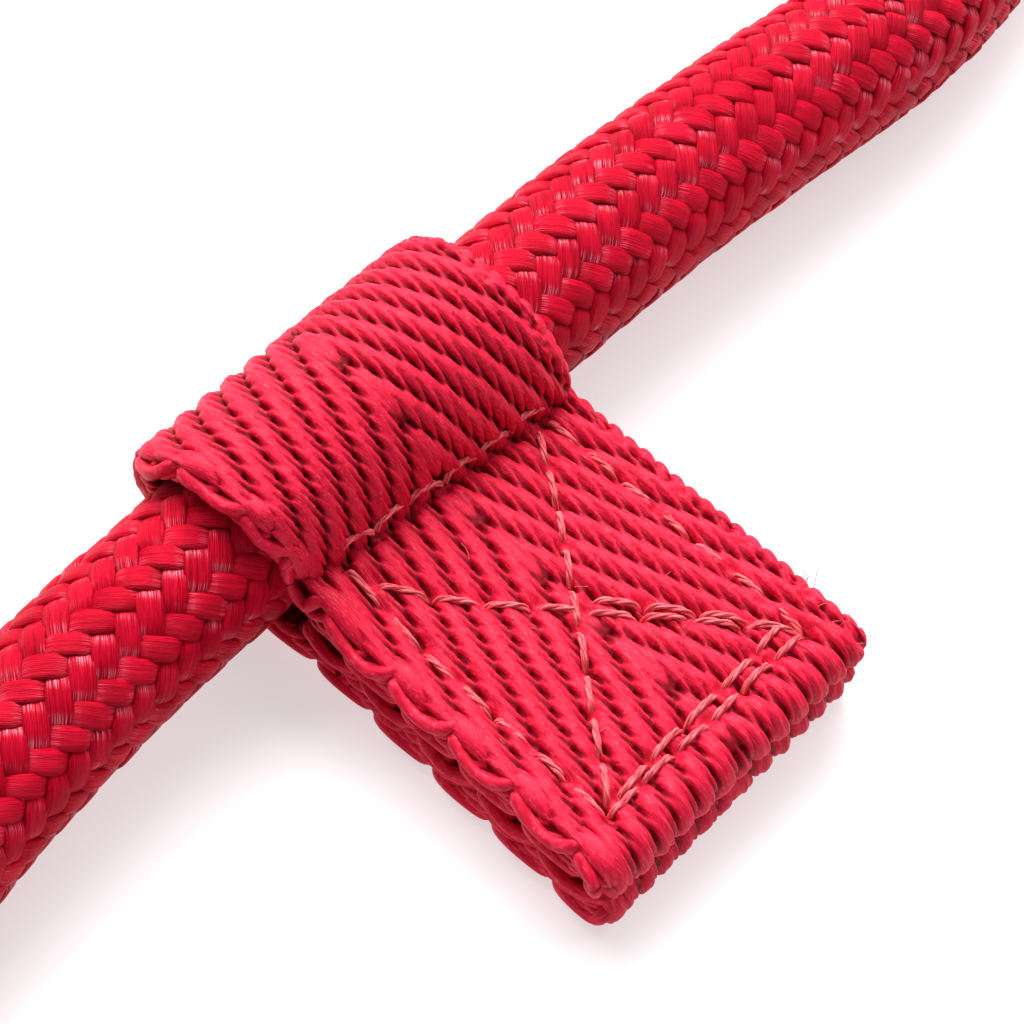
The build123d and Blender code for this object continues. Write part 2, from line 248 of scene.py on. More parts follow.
routes = {
    "chin": [
        *sewn_end(side_ring, -104.8, -1),
        (-0.094, 0.0145, 0.0068),
        (-0.0755, -0.0005, 0.0061),
        (-0.053, -0.0052, 0.0061),
        (-0.029, -0.0002, 0.0081),
        (0.012, -0.0003, 0.0083),
        (0.031, -0.0002, 0.0082),
        (0.067, -0.0029, 0.0064),
        (0.0925, 0.0115, 0.0062),
        *reversed(sewn_end(side_ring, -104.8, 1)),
    ],
    "nose": [
        *sewn_end(side_ring, 152, -1),
        (-0.017, 0.1655, 0.0061),
        (0.018, 0.166, 0.0061),
        *reversed(sewn_end(side_ring, 152, 1)),
    ],
    "left_cheek": [*sewn_end(side_ring, 84, -1), *reversed(sewn_end(upper_ring, -87, -1))],
    "right_cheek": [*sewn_end(side_ring, 84, 1), *reversed(sewn_end(upper_ring, -87, 1))],
    "crown": [
        *sewn_end(upper_ring, 100, -1),
        (-0.0985, 0.431, 0.0061),
        (-0.066, 0.463, 0.0061),
        (-0.023, 0.4785, 0.0061),
        (0.0235, 0.479, 0.0061),
        (0.067, 0.462, 0.0061),
        (0.0985, 0.4295, 0.0061),
        *reversed(sewn_end(upper_ring, 100, 1)),
    ],
    "throat": [
        *sewn_end(upper_ring, 197, -1, throat_reach),
        (0.0385, 0.2585, 0.0061),
        *reversed(sewn_end(upper_ring, 210, 1)),
    ],
}


def rope_line(points):
    """Points along the smooth curve that a route steers, in metres.

    The curve is made of parabolas that meet smoothly, and it starts and ends at the route's own ends.
    """
    data = bpy.data.curves.new("route", "CURVE")
    data.dimensions = "3D"
    data.resolution_u = 48
    spline = data.splines.new("NURBS")
    spline.points.add(len(points) - 1)
    for place, point in zip(points, spline.points):
        point.co = (*place, 1)
    spline.order_u = 3
    spline.use_endpoint_u = True
    curve = bpy.data.objects.new("route", data)
    bpy.context.scene.collection.objects.link(curve)
    read = bpy.data.meshes.new_from_object(curve)
    line = np.array([v.co for v in read.vertices])
    bpy.data.objects.remove(curve)
    return line


def even_steps(line, marks):
    """Places, directions and level sideways directions at distances along a line, in millimetres.

    A direction is that of the chord over 3 mm, and sideways is straight up crossed with it.
    """
    far = np.concatenate([[0], np.cumsum(np.linalg.norm(np.diff(line, axis=0), axis=1))])
    places = np.stack([np.interp(marks, far, line[:, k]) for k in range(3)], axis=-1)
    near = np.stack([np.interp(marks - 1.5, far, line[:, k]) for k in range(3)], axis=-1)
    ahead = np.stack([np.interp(marks + 1.5, far, line[:, k]) for k in range(3)], axis=-1)
    onward = (ahead - near) / np.linalg.norm(ahead - near, axis=1, keepdims=True)
    level = np.cross(np.array([0, 0, 1.0]), onward)
    return places, onward, level / np.linalg.norm(level, axis=1, keepdims=True)


# Braid: a rope's sheath is 32 flat polyester yarns, 16 wound each way and passed two over two on a
# braiding machine. A rope is nominally 12 mm thick. As drawn it is 11.3 to 12.5 mm, see girth below.
# The soft filling inside, 9.8 mm thick, shows dark between the yarns.
braid_pitch, braid_radius, braid_wave = 32.4, 5.42, 0.31
ribbon_half_width, ribbon_half_depth = 0.79, 0.22


def braid(line, marks, way, sides, shuffle):
    """Sixteen ribbons wound one way on a rope, as closed tubes of flattened section.

    A ribbon turns once a pitch. Its height goes up and down eight times a turn, as a flattened wave of
    its angle, and the ribbons that wind the other way have the opposite wave, so they pass two by two.
    Girth makes every rope thinner on the halter's left and thicker on its right, by X alone: it was
    fitted to the chin rope beside the tab, and a real rope has one thickness.
    """
    places, onward, level = even_steps(line, marks)
    upward = np.cross(onward, level)
    ribbon = np.arange(16)[:, None]
    drift = shuffle.uniform(-0.012, 0.012, (16, 1))
    angle = 2 * np.pi * (ribbon / 16 + way * marks[None, :] / braid_pitch) + drift
    wave = way * np.tanh(2.0 * np.cos(8 * angle - np.pi / 4)) / np.tanh(2.0)
    knots = np.arange(marks[0] - 3, marks[-1] + 5, 1.3)
    wobble = [
        np.stack([np.interp(marks, knots, shuffle.normal(0, 1, len(knots))) for _ in range(16)])
        for _ in range(3)
    ]
    angle = angle + 0.009 * wobble[0]
    slope = way * 2 * np.pi * braid_radius / braid_pitch
    across = 2 * np.pi * (np.arange(sides) + 0.5) / sides
    squared = np.sign(np.cos(across)) * np.abs(np.cos(across)) ** 0.7
    plump = np.sign(np.sin(across)) * np.abs(np.sin(across)) ** 0.65
    swell = (0.5 + 0.5 * way * np.cos(8 * angle - np.pi / 4)) ** 0.7
    breadth = 0.76 + 0.32 * swell + 0.04 * wobble[1]
    width = ribbon_half_width * shuffle.uniform(0.98, 1.06, (16, 1)) * breadth
    aside = width[..., None] * squared
    length = math.hypot(1, slope)
    forward = -slope / length * aside
    round_by = aside / length / braid_radius
    depth = ribbon_half_depth * (1 + 0.16 * wave)
    radius = braid_radius + braid_wave * wave[..., None] + depth[..., None] * plump
    radius = radius + shuffle.uniform(-0.03, 0.03, (16, 1, 1)) + 0.035 * wobble[2][..., None]
    girth = 0.20 * np.tanh((places[:, 0] - 4) / 10) + 0.012 * np.clip(places[:, 0] + 30, -16, 0)
    radius = radius + girth[None, :, None]
    turn = angle[..., None] + round_by
    points = (
        places[None, :, None, :]
        + onward[None, :, None, :] * forward[..., None]
        + level[None, :, None, :] * (radius * np.cos(turn))[..., None]
        + upward[None, :, None, :] * (radius * np.sin(turn))[..., None]
    )
    run = np.broadcast_to(marks[None, :, None] * length, points.shape[:3])
    plan = np.stack([run, np.broadcast_to(aside, points.shape[:3])], axis=-1).reshape(-1, 2)
    tone = np.broadcast_to(shuffle.uniform(0, 1, (16, 1, 1)), points.shape[:3])
    lift = np.broadcast_to(wave[..., None], points.shape[:3])
    return points.reshape(-1, 3), tube_faces(16, len(marks), sides), plan, tone, lift


def yarn_material(name, painted_glint_strength):
    """Flat silky yarn: fine streaks along it, a tone of its own, painted shade where it dives under the
    crossing yarns, and pale painted glints where it bends down.
    """
    made, shader, field = surface_material(name, 0.4, Specular_IOR_Level=0.05, Coat_Roughness=0.25)
    plan = field.node("ShaderNodeUVMap", uv_map="UVMap")
    along = plan.node("ShaderNodeSeparateXYZ", {"Vector": plan})
    across = plan.node("ShaderNodeSeparateXYZ", {"Vector": plan}, output=1)
    tone = field.node("ShaderNodeAttribute", output="Fac", attribute_name="tone")
    lift = field.node("ShaderNodeAttribute", output="Fac", attribute_name="lift")
    place = field.node("ShaderNodeCombineXYZ", {"X": along * 0.22, "Y": across * 16.0, "Z": tone * 90.0})
    streak = place.node("ShaderNodeTexNoise", {"Vector": place, "Scale": 1.6, "Detail": 4.0})
    bend = (1 - lift * lift).rise(0.05, 0.6)
    colour = streak.rise(0.32, 0.70).blend((0.40, 0.0006, 0.012, 1), (0.86, 0.0060, 0.042, 1))
    # Painted shade: darker where the yarn's wave takes it down under the crossing yarns.
    colour = lift.rise(-1.0, 0.35).blend((0.17, 0.0002, 0.005, 1), colour)
    colour = (tone * 0.3).blend(colour, (0.36, 0.0006, 0.010, 1))
    spot = place.node("ShaderNodeTexCoord", output="Object")
    cluster = spot.node("ShaderNodeTexNoise", {"Vector": spot, "Scale": 260.0, "Detail": 1.0})
    mottle = spot.node("ShaderNodeTexNoise", {"Vector": spot, "Scale": 520.0, "Detail": 0.0})
    colour = (mottle.rise(0.60, 0.36) * 0.25).blend(colour, (0.20, 0.0002, 0.005, 1))
    # Painted highlight: pale pink glints where a yarn bends, in clusters; the same mask raises the coat and
    # lowers the roughness.
    painted_glint = streak.rise(0.50, 0.64) * bend * painted_glint_strength * cluster.rise(0.44, 0.58)
    colour = painted_glint.blend(colour, (0.92, 0.20, 0.32, 1))
    rough = 0.36 + 0.1 * streak - 0.2 * painted_glint
    bump = streak.node("ShaderNodeBump", {"Height": streak, "Strength": 1.0, "Distance": 0.00016})
    wire_up(shader, Base_Color=colour, Roughness=rough, Coat_Weight=painted_glint, Normal=bump)
    return made


# The left lay gets stronger painted glints than the right lay, as its floats catch the key lamp.
yarns = {"right_lay": yarn_material("yarn_right_lay", 0.3), "left_lay": yarn_material("yarn_left_lay", 0.95)}

filling, filling_shader, filling_field = surface_material("rope_filling", 0.8, Specular_IOR_Level=0.05)
filling_place = filling_field.node("ShaderNodeTexCoord", output="Object")
filling_cloud = filling_place.node("ShaderNodeTexNoise", {"Vector": filling_place, "Scale": 900.0})
wire_up(filling_shader, Base_Color=filling_cloud.blend((0.08, 0.0, 0.004, 1), (0.16, 0.001, 0.007, 1)))

for rope_number, (rope_name, route) in enumerate(routes.items()):
    shuffle = np.random.default_rng(40 + rope_number)
    route_line = rope_line(route)
    line = route_line * 1000
    far = np.concatenate([[0], np.cumsum(np.linalg.norm(np.diff(line, axis=0), axis=1))])
    whole = far[-1]
    marks = np.linspace(0, whole, int(whole / 0.66))
    fine = None
    if rope_name == "chin":
        middle = np.interp(0, line[:, 0], far)
        seen = np.abs(marks - middle) < 52
        fine = np.arange(marks[seen][0], marks[seen][-1] + 0.28, 0.28)
        marks = marks[~seen]
    filling_places, filling_onward, filling_level = even_steps(line, np.linspace(0, whole, int(whole / 3)))
    filling_turn = 2 * np.pi * np.arange(20) / 20
    filling_up = np.cross(filling_onward, filling_level)
    ring_points = filling_level[:, None] * np.cos(filling_turn)[None, :, None]
    ring_points = ring_points + filling_up[:, None] * np.sin(filling_turn)[None, :, None]
    filling_points = (filling_places[:, None] + 4.9 * ring_points).reshape(-1, 3)
    cover = add_piece(
        f"{rope_name}_rope", filling_points, tube_faces(1, len(filling_places), 20), filling, "halter"
    )
    stretches = {"": (marks, 5)}
    if fine is not None:
        stretches = {
            "_left": (np.append(marks[marks < fine[0] - 0.1], fine[0]), 5),
            "_middle": (fine, 8),
            "_right": (np.append(fine[-1], marks[marks > fine[-1] + 0.1]), 5),
        }
    for part, (part_marks, sides) in stretches.items():
        for way, hand in ((1, "right_lay"), (-1, "left_lay")):
            shuffle = np.random.default_rng(40 + 2 * rope_number + way)
            points, faces, plan, tone, lift = braid(line, part_marks, way, sides, shuffle)
            add_piece(
                    f"{rope_name}_{hand}_yarns{part}", points, faces, yarns[hand], "halter", plan, tone, lift
                )
    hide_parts(f"{rope_name}_rope_sheath", f"{rope_name}_rope_core")


# Webbing: a 25 mm polyester strip, woven in herringbone. Its floats lie in leaning ribs, mirrored in
# the strip's middle. Yarns lie side by side 0.46 mm apart, each next one a pick of 1.4 mm on, and
# four picks make a rib.
yarn_gap, pick, rib_repeat = 0.46, 1.4, 5.6
slant = pick / yarn_gap


def herringbone(across, along, shuffle):
    """Height of a strip's face, 0 to 1 for how open it lies, which the webbing paints as shade in pits and
    creases, and each float's own tone.

    A rib's number is its place along plus slant times its place across, over the repeat. Each rib has a
    round lip on the far side and sinks on the near side under the next one's lip. A pit lies where a
    rib's edge meets the line between two yarns, as a bell curve, with a fine crease up from it.
    """
    tones = shuffle.uniform(0, 1, (97, 89))
    along = along + 0.16 * np.sin(0.55 * across + 0.21 * along) + 0.10 * np.sin(1.7 * across - 0.5 * along)
    out = np.sqrt(across**2 + 0.12) + 0.03 * np.sin(0.8 * along + across)
    number = (along + slant * out) / rib_repeat
    rib = np.round(number)
    phase = number - rib
    near = 0.52 * (np.clip(0.10 - phase, 0, 1) / 0.60) ** 2.2
    lip = 0.64 * (np.clip(phase - 0.04, 0, 1) / 0.46) ** 3.6
    height = 1 - near - lip
    past = np.where(phase < 0, phase + 0.5, phase - 0.5)
    yarn = np.floor(out / yarn_gap + 0.5)
    off = out / yarn_gap - yarn
    pit = 0 * height
    for step in (-1, 0, 1):
        run = 5.32 * past - 1.474 * (off + step)
        width = np.where(past > 0, 0.23, 0.06)
        pit = np.maximum(pit, np.exp(-((run / 0.14) ** 2) - (1.75 * past / width) ** 2))
    rise = rib_repeat * np.abs(past)
    width = 0.13 * np.exp(-rise / 1.0) + 0.06
    bent = off - 0.9 * past
    bent = bent - np.round(bent)
    reach = np.exp(-((rise / np.where(past > 0, 2.9, 1.1)) ** 2))
    crease = reach * np.exp(-((bent * yarn_gap / width) ** 2))
    edge = np.exp(-(((across - 11.2) / 0.24) ** 2) - ((along / pick - np.round(along / pick)) / 0.24) ** 2)
    pit = np.maximum(pit, 1.1 * edge)
    leaf = np.floor(out / yarn_gap).astype(int)
    tone = tones[rib.astype(int) % 97, (leaf + 31 * (across < 0)) % 89]
    puff = 0.14 * reach * (0.5 * np.sign(bent) - bent)
    face = 0.44 + 0.55 * height - 0.33 * pit - 0.40 * crease - puff + 0.12 * (tone - 0.5)
    # The second value is a painted shade mask: low in the pits, the creases and the pits along the right
    # edge.
    return face, np.clip(0.25 + 0.75 * height - 0.66 * pit - 1.05 * crease, 0, 1), tone


def woven_face(surface, start, end, step, columns, shuffle):
    """One face of a strip as a closed slab on its ground: points, faces, plan, tone and lift.

    Its upper side stands as high as herringbone says at each place, and its lower side is flat.
    """
    places = np.linspace(start, end, math.ceil((end - start) / step) + 1)[:, None]
    across = np.linspace(-11.75, 11.75, columns)[None, :]
    height, lift, tone = herringbone(across, places, shuffle)
    under = np.linspace(11.75, -11.75, 9)[None, :]
    flat = np.zeros((len(places), 9))
    across = np.concatenate([across + 0 * places, under + flat], axis=1)
    points = surface(across, places, np.concatenate([height, flat - 0.1], axis=1))
    plan = np.stack([places + 0 * across, across], axis=-1).reshape(-1, 2)
    tone, lift = (np.concatenate([values, flat], axis=1) for values in (tone, lift))
    return points.reshape(-1, 3), tube_faces(1, len(places), across.shape[1]), plan, tone, lift


def leaves(surface, across, along, size, lean, height, rings, sides, shuffle):
    """Closed leaf shapes on a surface: middles across and along it, and their length, width and depth.

    surface gives points for places across and along a strip and heights above it. A leaf is widest in
    its middle, as the square root of one minus its place along squared, leans by so much across for
    each millimetre along, and dives at both ends.
    """
    count = len(across)
    length, width, depth = size
    place = np.linspace(-1, 1, rings)[None, :, None]
    turn = (2 * np.pi * (np.arange(sides) + 0.5) / sides)[None, None, :]
    scale = shuffle.uniform(0.94, 1.05, (count, 1, 1))
    taper = np.sqrt(np.maximum(1 - np.abs(place) ** 2.4, 0.012))
    aside = width / 2 * scale * taper * np.cos(turn)
    onward = place * length / 2 * scale + 0 * turn
    jitter = shuffle.uniform(-0.04, 0.04, (2, count, 1, 1))
    sideways = across[:, None, None] + aside + lean[:, None, None] * onward + jitter[0]
    forward = along[:, None, None] + onward
    level = height[0] + height[1] * (1 - np.abs(place) ** 1.7) + depth / 2 * scale * taper * np.sin(turn)
    points = surface(sideways, forward, level + jitter[1])
    shape = points.shape[:3]
    plan = np.stack([np.broadcast_to(onward, shape), np.broadcast_to(aside, shape)], axis=-1)
    tone = np.broadcast_to(shuffle.uniform(0, 1, (count, 1, 1)), shape)
    # lift falls to 0 at a leaf's ends, where the webbing paints shade as the leaf dives.
    lift = np.broadcast_to(1 - place**2, shape)
    return points.reshape(-1, 3), tube_faces(count, rings, sides), plan.reshape(-1, 2), tone, lift


def webbing_material(name, deep, bright, grain):
    """Satin yarn: fine streaks along each float, a tone of its own, pale specks of painted glint, and
    painted shade where a float dives into a pit or crease.
    """
    made, shader, field = surface_material(name, 0.5, Specular_IOR_Level=0.13)
    plan = field.node("ShaderNodeUVMap", uv_map="UVMap")
    along = plan.node("ShaderNodeSeparateXYZ", {"Vector": plan})
    across = plan.node("ShaderNodeSeparateXYZ", {"Vector": plan}, output=1)
    tone = field.node("ShaderNodeAttribute", output="Fac", attribute_name="tone")
    lift = field.node("ShaderNodeAttribute", output="Fac", attribute_name="lift")
    lean = across + along * 0.12
    place = field.node("ShaderNodeCombineXYZ", {"X": along * 0.3, "Y": lean * 12.0, "Z": tone * 70.0})
    streak = place.node("ShaderNodeTexNoise", {"Vector": place, "Scale": 1.5, "Detail": 3.0})
    colour = streak.rise(0.2, 0.8).blend(deep, bright)
    colour = (tone * 0.4).blend(colour, deep)
    fibre = tone.node("ShaderNodeCombineXYZ", {"X": along * 2.2, "Y": across * 9.0, "Z": tone * 40.0})
    glint_and_speck = fibre.node("ShaderNodeTexNoise", {"Vector": fibre, "Scale": 1.3, "Detail": 2.0})
    # Painted highlight: pale pink specks stand for glints of the satin; the dark specks are random fibre
    # tone.
    colour = (glint_and_speck.rise(0.54, 0.70) * 0.32).blend(colour, (0.90, 0.12, 0.19, 1))
    colour = (glint_and_speck.rise(0.46, 0.30) * 0.35).blend(colour, (0.20, 0.0004, 0.008, 1))
    # Painted shade: dark where lift is low, in pits, creases and where floats dive.
    colour = lift.rise(0.0, 0.60).blend((0.20, 0.0006, 0.008, 1), colour)
    rough = streak * 0.16 + 0.42
    bump = streak.node("ShaderNodeBump", {"Height": streak, "Strength": grain, "Distance": 0.00005})
    wire_up(shader, Base_Color=colour, Roughness=rough, Normal=bump)
    return made


webbing = webbing_material("webbing_floats", (0.50, 0.003, 0.024, 1), (0.80, 0.013, 0.058, 1), 0.5)
backing, backing_shader, backing_field = surface_material(
    "webbing_ground", 0.75, Specular_IOR_Level=0.05
)
backing_place = backing_field.node("ShaderNodeTexCoord", output="Object")
backing_grain = backing_place.node(
    "ShaderNodeTexNoise", {"Vector": backing_place, "Scale": 1400.0, "Detail": 2.0}
)
backing_bump = backing_grain.node(
    "ShaderNodeBump", {"Height": backing_grain, "Strength": 0.6, "Distance": 0.0003}
)
wire_up(
    backing_shader,
    Base_Color=backing_grain.blend((0.09, 0.0, 0.006, 1), (0.22, 0.001, 0.012, 1)),
    Normal=backing_bump,
)


# Keeper tab: one strip of the webbing, folded over the chin rope with both ends tucked under, so that
# four layers lie 2 mm apart. Its line from the side, Y and Z in millimetres, runs from the upper tuck
# over the top layer, the hump and the bottom layer to the lower tuck.
layers = (0.95, 2.95, 4.95, 6.95)
hump_radius, hump_height, crease_radius, fold_radius = 7.35, 8.2, 0.55, 1.0
tab_fold, upper_tuck, lower_tuck = -33.2, -6.1, -5.0
crease_height = layers[3] + crease_radius
crease = -math.sqrt((hump_radius + crease_radius) ** 2 - (crease_height - hump_height) ** 2)


def arc(middle, radius, start, end):
    """Points on an arc in the side view, from one angle to another in radians."""
    turn = np.linspace(start, end, 40)
    return np.stack([middle[0] + radius * np.cos(turn), middle[1] + radius * np.sin(turn)], axis=-1)


leave = math.atan2(crease_height - hump_height, crease)
side_line = np.concatenate(
    [
        [(upper_tuck, layers[2])],
        arc((tab_fold, (layers[2] + layers[3]) / 2), fold_radius, -np.pi / 2, -3 * np.pi / 2),
        arc((crease, crease_height), crease_radius, -np.pi / 2, leave % (2 * np.pi) - np.pi),
        arc((0, hump_height), hump_radius, leave % (2 * np.pi), -np.pi / 2),
        arc((tab_fold + 0.3, (layers[0] + layers[1]) / 2), fold_radius, -np.pi / 2, -3 * np.pi / 2),
        [(lower_tuck, layers[1])],
    ]
)
side_far = np.concatenate([[0], np.cumsum(np.linalg.norm(np.diff(side_line, axis=0), axis=1))])
strip_length = side_far[-1]
top_start = side_far[40]


def top_place(y):
    """The place along the strip of a point on the top layer, from its Y."""
    return top_start + (y - tab_fold)


# Seams: a box, its cross and a second row at the free end, sewn by machine through all four layers.
# Each has its ends in millimetres on the top layer, how far its thread stands above the floats, and
# its stitches' length.
seam_near, seam_far, seam_half = -8.15, -31.7, 9.1
seams = [
    ((-seam_half, seam_near), (seam_half, seam_near + 0.1), 1.42, 2.95),
    ((seam_half, seam_near), (seam_half + 0.1, seam_far), -0.14, 3.3),
    ((seam_half, seam_far + 0.1), (-seam_half, seam_far), 0.12, 3.2),
    ((-seam_half, seam_far), (-seam_half, seam_near), -0.12, 3.3),
    ((-seam_half + 0.6, seam_near - 2.0), (seam_half - 0.3, seam_far + 0.6), 0.10, 3.4),
    ((seam_half - 0.8, seam_near - 0.4), (-seam_half + 0.5, seam_far + 0.5), 0.10, 3.1),
    ((-seam_half + 1.2, seam_far + 0.5), (seam_half - 0.3, seam_far + 1.5), 0.12, 3.3),
    ((1.0, -20.2), (seam_half, seam_far + 0.2), 0.20, 3.6),
]


def stitch_ends(seam):
    """The needle holes along a seam, evenly spaced."""
    (x0, y0), (x1, y1), _, stitch = seam
    count = max(1, round(math.hypot(x1 - x0, y1 - y0) / stitch))
    share = np.linspace(0, 1, count + 1)
    return np.stack([x0 + (x1 - x0) * share, y0 + (y1 - y0) * share], axis=-1)


def seam_pull(x, y):
    """How far the face stands: a swell, less a groove along each seam and a pit at each needle hole.

    The swell is one minus the square of the place across. Grooves and pits are bell curves of the
    distance from the seam and the hole, and the deepest one counts.
    """
    pull = 0 * (x + y)
    pit = 0 * (x + y)
    for seam in seams:
        (x0, y0), (x1, y1), _, _ = seam
        run = np.array([x1 - x0, y1 - y0])
        share = np.clip(((x - x0) * run[0] + (y - y0) * run[1]) / (run @ run), 0, 1)
        away = np.hypot(x - x0 - share * run[0], y - y0 - share * run[1])
        pull = np.maximum(pull, 0.20 * np.exp(-((away / 0.8) ** 2)) + 0.16 * np.exp(-((away / 2.4) ** 2)))
        for hole in stitch_ends(seam):
            pit = np.maximum(pit, 0.45 * np.exp(-((x - hole[0]) ** 2 + (y - hole[1]) ** 2) / 0.55**2))
    swell = 0.25 * np.clip(1 - (x / 12.5) ** 2, 0, 1)
    return swell - pull - pit


def tab_surface(across, along, height):
    """Points of the tab for places across and along its strip and heights above its middle surface.

    The side line gives Y and Z along the strip, and a height goes square to it. The top is pulled
    down at the seams, and both edges droop as the square of the way past 10.6 mm. The free end is
    skewed in proportion to its distance from the rope, the layers below it lie a little further out,
    and the crease leans over in a bell curve.
    """
    x = across + 0.15 * np.sin(along * 0.045 + 1.2) + 0 * along
    before = np.maximum(along - 0.15, 0)
    after = np.minimum(along + 0.15, strip_length)
    y, z = (np.interp(along, side_far, side_line[:, k]) for k in (0, 1))
    dy, dz = (
        np.interp(after, side_far, side_line[:, k]) - np.interp(before, side_far, side_line[:, k])
        for k in (0, 1)
    )
    size = np.hypot(dy, dz) + 1e-9
    on_top = np.clip((along - top_start + 2.5) / 2, 0, 1)
    on_top = on_top * np.clip((top_place(crease) + 1.0 - along) / 1.5, 0, 1)
    droop = -0.35 * np.clip((np.abs(across) - 10.6) / 2, 0, 1) ** 2
    lifted = height + on_top * seam_pull(x, y) + droop
    y, z = y - dz / size * lifted, z + dy / size * lifted
    beyond = np.minimum(y + 7, 0)
    under = np.clip((6.4 - z) / 2, 0, 1) * np.clip(-beyond / 6, 0, 1)
    x, y = 1.015 * x + 0.6 + 0.058 * beyond, y + 0.026 * x * (1 - under) * np.clip(beyond / 10, -1, 0)
    left_behind = 0.08 * np.minimum(x, 0) * np.clip(y / 4, 0, 1)
    x = x + 0.05 * under - (0.16 - 0.002 * x) * np.maximum(z - 8, 0) + left_behind
    fold = np.exp(-(((y - crease) / 3.2) ** 2)) * np.clip((z - 6) / 1.5, 0, 1)
    y, z = y + (0.75 - 0.055 * x) * fold, z + 0.11 * np.clip(3 - x, 0, 15) * fold
    return np.stack(np.broadcast_arrays(x, y, z), axis=-1)


tab_shuffle = np.random.default_rng(7)


def ground(surface, start, end, step, columns):
    """The body of a strip under its floats: a closed band with half-round edges.

    Its width ripples as a sine of the place along, once for every pick.
    """
    places = np.arange(start, end, step)
    face = np.linspace(-11.9, 11.9, columns)
    turn = np.linspace(-np.pi / 2, np.pi / 2, 6)[1:-1]
    across = np.concatenate([face, 11.9 + 0.35 * np.cos(turn), face[::-1], -11.9 - 0.35 * np.cos(turn)])
    height = np.concatenate(
        [np.full(columns, -0.9), -0.4 + 0.5 * np.sin(turn), np.full(columns, 0.1), -0.4 - 0.5 * np.sin(turn)]
    )
    ripple = 1 + 0.008 * np.sin(2 * np.pi * places / pick)[:, None]
    points = surface(across[None] * ripple, places[:, None], height[None])
    return points.reshape(-1, 3), tube_faces(1, len(places), len(across))


points, faces = ground(tab_surface, 0, strip_length, 0.45, 26)
tab_cloth = add_piece("tab_strip", points, faces, backing, "tab")
hump_start, base_start = top_place(crease) + 0.2, side_far[120]
fold_start, fold_end = side_far[121] - 2, side_far[160]
for part, start, end, step, columns in (
    ("top", side_far[1], hump_start, 0.115, 205),
    ("hump", hump_start, base_start, 0.115, 205),
    ("base", base_start, fold_start, 0.3, 80),
    ("lower_fold", fold_start, fold_end, 0.15, 150),
    ("under", fold_end, strip_length - 1, 0.3, 80),
):
    shuffle = np.random.default_rng(7)
    points, faces, plan, tone, lift = woven_face(tab_surface, start, end, step, columns, shuffle)
    add_piece(f"tab_{part}_floats", points, faces, webbing, "tab", plan, tone, lift)

# Selvedges: short floats wrap the right edge at every pick. On the left edge each rib ends in one
# long float, and the edge yarn loops around it from a knob under one float to the next one's tip.
def selvedge(surface, side, start, end, rings, sides, shuffle):
    """Short floats that wrap one edge of a strip, one for each pick."""
    along = np.arange(start, end, pick)
    across = np.full(len(along), side * 11.75)
    lean = np.full(len(along), 0.33 * side)
    return leaves(surface, across, along, (2.3, 1.05, 0.75), lean, (0.0, 0.35), rings, sides, shuffle)


points, faces, plan, tone, lift = selvedge(tab_surface, 1, 0.8, strip_length - 0.8, 9, 8, tab_shuffle)
edges = [add_piece("tab_right_selvedge", points, faces, webbing, "tab", plan, tone, lift)]
along = np.arange(2.6, strip_length - 2.5, rib_repeat)
points, faces, plan, tone, lift = leaves(
    tab_surface,
    np.full(len(along), -11.2),
    along,
    (5.3, 1.60, 1.0),
    np.full(len(along), 0.03),
    (0.05, 0.50),
    17,
    12,
    tab_shuffle,
)
edges.append(add_piece("tab_left_selvedge", points, faces, webbing, "tab", plan, tone, lift))


def tube_along(middles, radii, sides):
    """A round tube for each row of middles: points of rows times rings times sides.

    Each ring is a circle about its middle, square to the row's direction there.
    """
    onward = np.gradient(middles, axis=1)
    onward = onward / np.linalg.norm(onward, axis=-1, keepdims=True)
    aside = np.cross(onward, np.array([0.0, 0.35, 1.0]))
    aside = aside / np.linalg.norm(aside, axis=-1, keepdims=True)
    upward = np.cross(aside, onward)
    turn = 2 * np.pi * np.arange(sides) / sides
    round_by = aside[:, :, None] * np.cos(turn)[:, None] + upward[:, :, None] * np.sin(turn)[:, None]
    return middles[:, :, None] + radii[..., None, None] * round_by


def edge_yarns(starts, path, radii, samples, sides, shuffle):
    """The same bent yarn at each start along the left edge, smooth through a path's corners.

    path has rows of place onward, place across and height. radii has a radius for each row. Both are
    read along straight lines between the rows, and blurred with a raised cosine.
    """
    place = np.linspace(0, 1, samples)
    corner = np.linspace(0, 1, len(path))
    rounded = np.stack([np.interp(place, corner, row) for row in (*path.T, radii)])
    blur = np.hanning(max(3, samples // len(path) + 4))
    padded = np.pad(rounded, ((0, 0), (len(blur) // 2, len(blur) // 2)), mode="edge")
    rounded = np.stack([np.convolve(row, blur / blur.sum(), "same") for row in padded])
    rounded = rounded[:, len(blur) // 2 : len(blur) // 2 + samples]
    wander = shuffle.normal(0, 0.05, (3, len(starts), 1)) * np.sin(np.pi * place)
    middles = tab_surface(
        rounded[1] + wander[0], starts[:, None] + rounded[0] + 2 * wander[1], rounded[2] + wander[2]
    )
    thick = rounded[3] * shuffle.uniform(0.9, 1.1, (len(starts), 1))
    ends = np.sqrt(np.clip(1 - (2 * np.abs(place - 0.5)) ** 12, 0.03, 1))
    points = tube_along(middles, thick * ends, sides)
    shape = points.shape[:3]
    turn = np.linspace(-0.4, 0.4, sides)
    run = place[:, None] * 5.6
    plan = np.stack([np.broadcast_to(run, shape), np.broadcast_to(turn, shape)], axis=-1)
    tone = np.broadcast_to(shuffle.uniform(0, 1, (len(starts), 1, 1)), shape)
    faces = tube_faces(len(starts), samples, sides)
    return points.reshape(-1, 3), faces, plan.reshape(-1, 2), tone, np.full(shape, 0.62)


